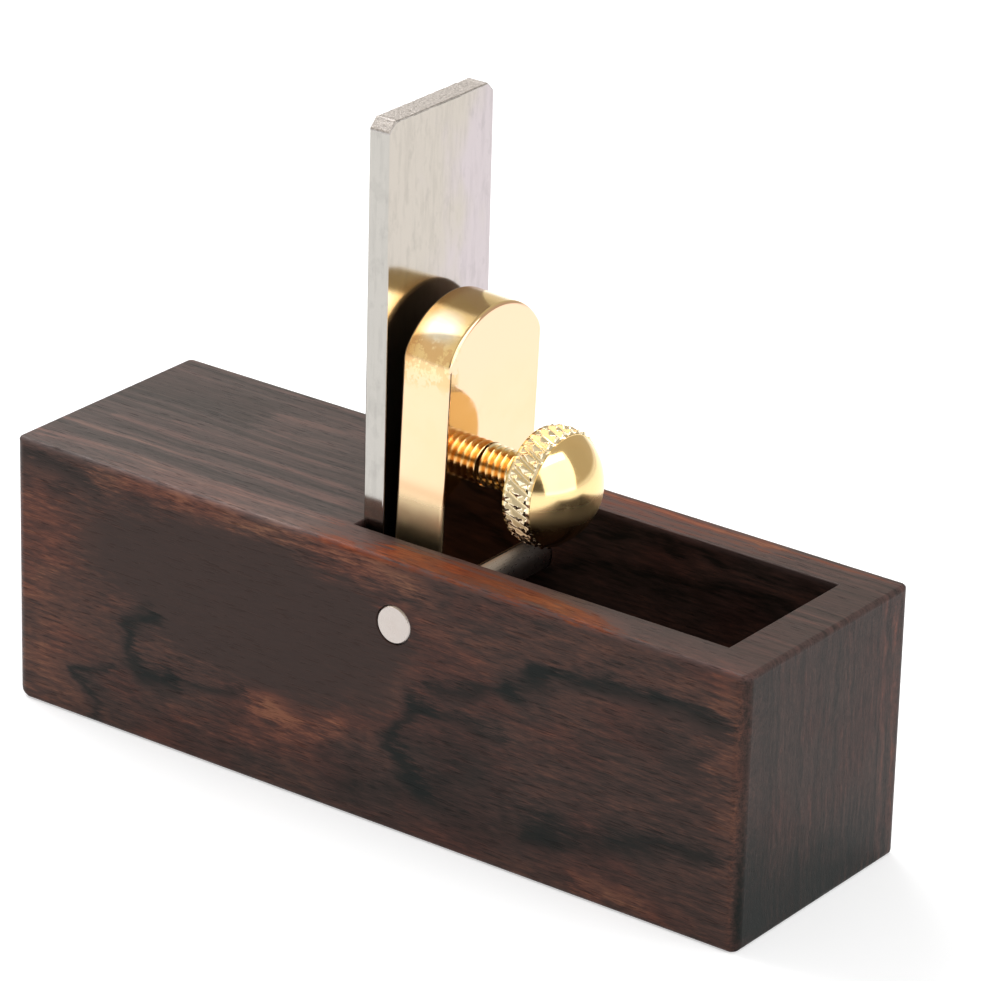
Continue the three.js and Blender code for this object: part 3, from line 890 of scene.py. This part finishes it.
def addKnobMarks(n, place, colour, roughness):
    k = knobFinish
    x, y, z = place
    outwards = outwardsAt(x, z)
    back, front = knob["back"], knob["back"] + knob["band"]
    knurl = 1 - n.step(outwards, front - 0.2, front - 0.05)
    rear = 1 - n.step(outwards, back + 0.05, back + 0.3)
    # a painted dark reflection low on the near side of the dome
    paintedReflection = (1 - n.step(y, *k["reflectionSide"])) * (1 - n.step(z, *k["reflectionTop"])) * (1 - knurl)
    # painted light on the knurl's top and painted shade low down
    colour = n.mix(knurl, colour, n.mix(n.step(z, *k["knurlShadeFrom"]), k["knurlShade"], k["knurlTone"]))
    colour = n.mix(rear, colour, k["backTone"])
    colour = n.mix(paintedReflection, colour, k["reflectionTone"])
    roughness = roughness + knurl * k["knurlRough"]
    roughness = roughness + n.hill(z, *k["lowBand"]) * (1 - knurl) * k["lowRough"]
    return colour, roughness


# the stud: its thread is paler on the crests
studFinish = dict(tone=(0.82, 0.56, 0.24), deep=(0.76, 0.47, 0.17), rough=0.14,
                  crestTone=(0.98, 0.86, 0.58), crestFrom=(1.78, 1.93))


def addStudMarks(n, place, colour, roughness):
    x, y, z = place
    radius = n.length(y, aboveAt(x, z), 0)
    colour = n.mix(n.step(radius, *studFinish["crestFrom"]), colour, studFinish["crestTone"])
    return colour, roughness


# the cap: deeper on the arch, a painted highlight on the near shoulder, tarnish at the shoulder, satin
# edges low down, and a raw back face darkened with painted shade
capFinish = dict(tone=(0.94, 0.65, 0.42), deep=(0.93, 0.63, 0.39), rough=0.05,
                 crownTone=(0.95, 0.74, 0.38), crownFrom=(40, 43), crownRough=0.09,
                 faceTone=(0.93, 0.638, 0.43), faceFrom=(35, 43), frontFrom=(0.2, 0.42),
                 highlightSpot=(2.0, -4.6, 44.8), highlightEdge=(0.8, 2.6), highlightTone=(0.99, 0.95, 0.82),
                 tarnish=(0.80, 0.54, 0.27), tarnishLow=(39.2, 40.6), tarnishHigh=(43.4, 44.6),
                 tarnishSide=(-5.8, -5.0), stainScales=(0.9, 0.9, 0.7), stainFrom=(0.46, 0.54),
                 behind=(0.84, 0.70, 0.58), behindFrom=(-4.3, -2.9), edgeFrom=(6.2, 6.45),
                 edgeTone=(0.95, 0.75, 0.45), edgeRough=0.24, edgeTop=30.5, edgeLine=(0.60, 0.40, 0.22),
                 shadedBackTone=(0.20, 0.145, 0.09), rawRough=0.3)


def addCapMarks(n, place, colour, roughness):
    c = capFinish
    x, y, z = place
    outwards = outwardsAt(x, z)
    crown = n.step(z, *c["crownFrom"])
    front = n.step(outwards, *c["frontFrom"])
    colour = n.mix(crown * (1 - front), colour, c["crownTone"])
    colour = n.mix(n.step(z, *c["faceFrom"]) * front, colour, c["faceTone"])

    # a painted highlight on the arch's near shoulder
    spot = n.vectors("DISTANCE", n.vector(x, y, z), c["highlightSpot"]) + brassSmudges(n, place) * 0.6
    colour = n.mix(1 - n.step(spot, *c["highlightEdge"]), colour, c["highlightTone"])
    shoulder = n.step(z, *c["tarnishLow"]) * (1 - n.step(z, *c["tarnishHigh"]))
    shoulder = shoulder * (1 - n.step(y, *c["tarnishSide"]))
    stain = n.step(n.noise(place, c["stainScales"], 4, 0.7), *c["stainFrom"]) * shoulder
    colour = n.mix(stain * 0.9, colour, c["tarnish"])
    behind = (1 - n.step(outwards, *c["behindFrom"])) * crown
    colour = n.mix(behind, colour, n.vectors("MULTIPLY", colour, c["behind"]))

    beside = n.step(n.absolute(y), *c["edgeFrom"])
    low = (1 - n.step(z, c["edgeTop"] - 2, c["edgeTop"])) * beside
    colour = n.mix(low, colour, c["edgeTone"])
    line = n.hill(z + brassClouds(n, place), c["edgeTop"], 0.8) * beside
    colour = n.mix(line * 0.6, colour, c["edgeLine"])
    # the back face against the iron: rough as raw brass and darkened with painted shade
    back = lever["front"] - lever["thickness"]
    rawShadedBack = 1 - n.step(outwards, back + 0.1, back + 0.35)
    colour = n.mix(rawShadedBack, colour, c["shadedBackTone"])
    roughness = roughness + crown * (1 - front) * c["crownRough"]
    roughness = roughness + low * c["edgeRough"] + stain * 0.08 + rawShadedBack * c["rawRough"]
    return colour, roughness


rosewood = makeRosewood()
ironSteel = makeIronSteel()
pinSteel = makePinSteel()
capBrass = makeBrass("cap_polished", capFinish, addCapMarks)
knobBrass = makeBrass("knob_polished", knobFinish, addKnobMarks)
studBrass = makeBrass("stud_cut", studFinish, addStudMarks)
print("materials ready")

dress(makeWoodenBody(), "body", "rosewood", rosewood, "wooden_body")
dress(makeIron(), "blade", "blade_steel", ironSteel, "blade")
dress(makeLeverCap(), "cap", "cap_brass", capBrass, "lever_cap")
dress(makeStud(), "stud", "stud_brass", studBrass, "clamp_stud")
dress(makeKnob(), "knob", "knob_brass", knobBrass, "thumb_knob")
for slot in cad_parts["cross_pin"].material_slots:
    slot.material = pinSteel
print("pieces placed")
